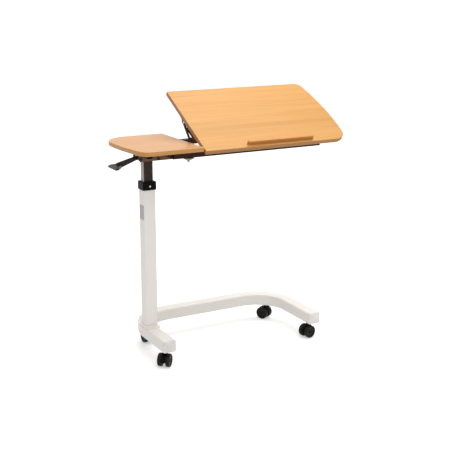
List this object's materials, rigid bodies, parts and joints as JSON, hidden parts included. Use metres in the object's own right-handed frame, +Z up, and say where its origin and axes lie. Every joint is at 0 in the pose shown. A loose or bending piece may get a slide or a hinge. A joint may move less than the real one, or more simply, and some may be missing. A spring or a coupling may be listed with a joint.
{
  "type": "overbed table",
  "caption": "Overbed table: U base on twin-wheel castors, telescoping side column with lever, fixed side top and larger tilting top on slotted stays.",
  "frame": {"origin": "centre of the overall plan, at floor level", "axes": "+X along the tops away from the column, +Y away from the user, +Z up"},
  "size_m": [0.904, 0.3685, 0.9742],
  "materials": {
    "white_steel": "satin powder coat",
    "white_plastic": "moulded",
    "black_plastic": "moulded",
    "wheel_plastic": "moulded",
    "steel": "zinc plated",
    "chrome": "polished",
    "label_grey": "blank",
    "mast_steel": "gloss coat",
    "nylon": "moulded",
    "dark_steel": "powder coat",
    "black_steel": "powder coat",
    "rubber": "moulded",
    "grey_plastic": "moulded",
    "beech_top": "beech laminate",
    "beech_edge": "beech edge band",
    "beech_stop": "stained beech"
  },
  "bodies": {
    "base": {"base_tube": "white_steel", "base_end_caps": "white_plastic", "castor_sockets": "black_plastic", "castor_stems": "steel", "foot_plate": "white_steel", "foot_nut_plate": "steel", "foot_bolts": "white_steel", "outer_column": "white_steel", "column_collar": "black_plastic", "collar_screw": "steel", "label_plate": "label_grey", "cylinder_seat": "nylon", "gas_cylinder": "dark_steel", "gas_gland": "steel"},
    "height_lever": {"lever_arm": "black_steel", "lever_paddle": "black_plastic"},
    "release_pin": {"release_pin": "steel"},
    "clamp_knob": {"clamp_knob": "grey_plastic"},
    "tilting_top": {"tilt_top": "beech_top", "tilt_top_band": "beech_edge", "book_stop": "beech_stop", "tilt_top_screws": "steel", "hinge_panel_leaves": "dark_steel", "slotted_bars": "dark_steel"},
    "stay_left": {"stay_left": "dark_steel"},
    "stay_right": {"stay_right": "dark_steel"},
    "castor_front_left": {"castor_front_left_fork": "black_plastic"},
    "castor_front_left_wheel_outer": {"castor_front_left_wheel_outer": "wheel_plastic"},
    "castor_front_left_wheel_inner": {"castor_front_left_wheel_inner": "wheel_plastic"},
    "castor_front_right": {"castor_front_right_fork": "black_plastic"},
    "castor_front_right_wheel_outer": {"castor_front_right_wheel_outer": "wheel_plastic"},
    "castor_front_right_wheel_inner": {"castor_front_right_wheel_inner": "wheel_plastic"},
    "castor_rear_right": {"castor_rear_right_fork": "black_plastic"},
    "castor_rear_right_wheel_outer": {"castor_rear_right_wheel_outer": "wheel_plastic"},
    "castor_rear_right_wheel_inner": {"castor_rear_right_wheel_inner": "wheel_plastic"},
    "castor_rear_left": {"castor_rear_left_fork": "black_plastic"},
    "castor_rear_left_wheel_outer": {"castor_rear_left_wheel_outer": "wheel_plastic"},
    "castor_rear_left_wheel_inner": {"castor_rear_left_wheel_inner": "wheel_plastic"},
    "mast": {"cross_bolts": "black_steel", "cross_nuts": "black_steel", "fixed_side_arms": "dark_steel", "fixed_top": "beech_top", "fixed_top_band": "beech_edge", "fixed_top_pads": "rubber", "fixed_top_screws": "steel", "front_rail": "dark_steel", "gas_rod": "chrome", "head_bolts": "steel", "head_channel": "dark_steel", "hinge_frame_leaves": "dark_steel", "hinge_pins": "steel", "mast_guide": "nylon", "mast_tube": "mast_steel", "rail_plugs": "black_plastic", "rear_rail": "dark_steel", "rest_bumpers": "rubber", "rod_anchor": "steel", "rod_nut": "steel", "stay_pivots": "steel", "tilt_side_arms": "dark_steel"}
  },
  "joints": [
    {"name": "height_slide", "type": "slide", "parent": "base", "child": "mast", "axis": [0, 0, 1], "range_m": [-0.075, 0.22]},
    {"name": "top_tilt", "type": "hinge", "parent": "mast", "child": "tilting_top", "pos_m": [-0.316, -0.1518, 0.7892], "axis": [1, 0, 0], "range_deg": [-28.8, 5]},
    {"name": "stay_left_swing", "type": "hinge", "parent": "mast", "child": "stay_left", "pos_m": [-0.1586, -0.0703, 0.778], "axis": [1, 0, 0], "range_deg": [-47.52, 8.25]},
    {"name": "stay_right_swing", "type": "hinge", "parent": "mast", "child": "stay_right", "pos_m": [0.3386, -0.0703, 0.778], "axis": [1, 0, 0], "range_deg": [-47.52, 8.25]},
    {"name": "height_lever", "type": "hinge", "parent": "mast", "child": "height_lever", "pos_m": [-0.35, 0.0042, 0.757], "axis": [0, 1, 0], "range_deg": [0, 7], "stiffness_Nm_per_rad": 1.5, "springref_deg": -11.46},
    {"name": "release_pin", "type": "slide", "parent": "mast", "child": "release_pin", "axis": [0, 0, 1], "range_m": [-0.0045, 0]},
    {"name": "knob_spin", "type": "hinge", "parent": "mast", "child": "clamp_knob", "pos_m": [-0.214, -0.1348, 0.76], "axis": [0, 0, 1], "continuous": true},
    {"name": "castor_front_left_swivel", "type": "hinge", "parent": "base", "child": "castor_front_left", "pos_m": [-0.321, -0.1438, 0.056], "axis": [0, 0, 1], "continuous": true},
    {"name": "castor_front_left_roll_outer", "type": "hinge", "parent": "castor_front_left", "child": "castor_front_left_wheel_outer", "pos_m": [-0.32774, -0.15118, 0.025], "axis": [0.7385, -0.6743, 0], "continuous": true},
    {"name": "castor_front_left_roll_inner", "type": "hinge", "parent": "castor_front_left", "child": "castor_front_left_wheel_inner", "pos_m": [-0.32774, -0.15118, 0.025], "axis": [0.7385, -0.6743, 0], "continuous": true},
    {"name": "castor_front_right_swivel", "type": "hinge", "parent": "base", "child": "castor_front_right", "pos_m": [0.311, -0.1438, 0.056], "axis": [0, 0, 1], "continuous": true},
    {"name": "castor_front_right_roll_outer", "type": "hinge", "parent": "castor_front_right", "child": "castor_front_right_wheel_outer", "pos_m": [0.30126, -0.14605, 0.025], "axis": [0.225, -0.9744, 0], "continuous": true},
    {"name": "castor_front_right_roll_inner", "type": "hinge", "parent": "castor_front_right", "child": "castor_front_right_wheel_inner", "pos_m": [0.30126, -0.14605, 0.025], "axis": [0.225, -0.9744, 0], "continuous": true},
    {"name": "castor_rear_right_swivel", "type": "hinge", "parent": "base", "child": "castor_rear_right", "pos_m": [0.26882, 0.11702, 0.056], "axis": [0, 0, 1], "continuous": true},
    {"name": "castor_rear_right_roll_outer", "type": "hinge", "parent": "castor_rear_right", "child": "castor_rear_right_wheel_outer", "pos_m": [0.26428, 0.12593, 0.025], "axis": [-0.891, -0.454, 0], "continuous": true},
    {"name": "castor_rear_right_roll_inner", "type": "hinge", "parent": "castor_rear_right", "child": "castor_rear_right_wheel_inner", "pos_m": [0.26428, 0.12593, 0.025], "axis": [-0.891, -0.454, 0], "continuous": true},
    {"name": "castor_rear_left_swivel", "type": "hinge", "parent": "base", "child": "castor_rear_left", "pos_m": [-0.27882, 0.11702, 0.056], "axis": [0, 0, 1], "continuous": true},
    {"name": "castor_rear_left_roll_outer", "type": "hinge", "parent": "castor_rear_left", "child": "castor_rear_left_wheel_outer", "pos_m": [-0.27882, 0.10702, 0.025], "axis": [1, 0, 0], "continuous": true},
    {"name": "castor_rear_left_roll_inner", "type": "hinge", "parent": "castor_rear_left", "child": "castor_rear_left_wheel_inner", "pos_m": [-0.27882, 0.10702, 0.025], "axis": [1, 0, 0], "continuous": true}
  ],
  "couplings": [
    {"joint": "stay_left_swing", "follows": "top_tilt", "ratio": 1.65},
    {"joint": "stay_right_swing", "follows": "top_tilt", "ratio": 1.65},
    {"joint": "release_pin", "follows": "height_lever", "m_per_rad": -0.034}
  ]
}
